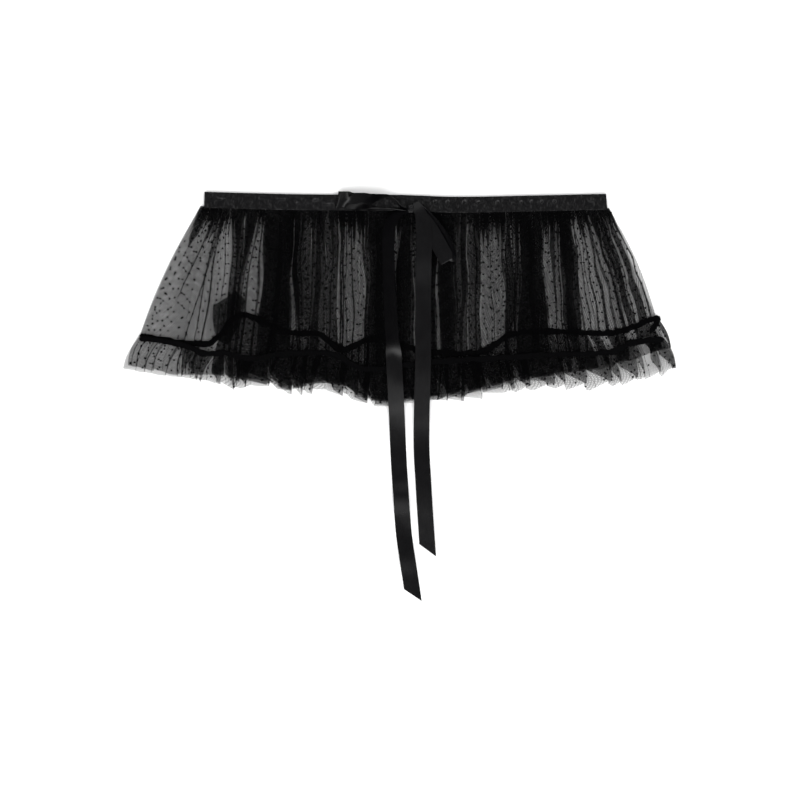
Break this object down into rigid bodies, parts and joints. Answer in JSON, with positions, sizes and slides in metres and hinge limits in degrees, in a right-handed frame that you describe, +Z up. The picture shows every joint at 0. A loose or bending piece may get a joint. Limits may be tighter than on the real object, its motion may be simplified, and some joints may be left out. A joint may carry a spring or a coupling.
{
  "type": "tutu skirt",
  "caption": "Short sheer tutu skirt of gathered dotted tulle on a satin ribbon waistband, with a velvet band over each ruffle seam and a long-tailed ribbon bow, laid flat.",
  "frame": {"origin": "on the table, under the middle of the whole piece laid flat with its tails", "axes": "+X to the right seen from above, +Y from the hem to the waistband, +Z up from the table"},
  "size_m": [0.525, 0.3902, 0.0117],
  "materials": {
    "tulle": "fine black net with small flocked dots, sheer",
    "satin": "black satin ribbon, soft sheen",
    "velvet": "black velvet band, matt"
  },
  "bodies": {
    "root": {"waistband_front": "satin", "waistband_back": "satin", "skirt_front": "tulle", "skirt_back": "tulle", "band_front": "velvet", "band_back": "velvet", "ruffle_front": "tulle", "ruffle_back": "tulle", "bow_knot": "satin", "bow_loop_left": "satin", "bow_loop_right": "satin", "bow_tail_left": "satin", "bow_tail_right": "satin"}
  },
  "joints": []
}
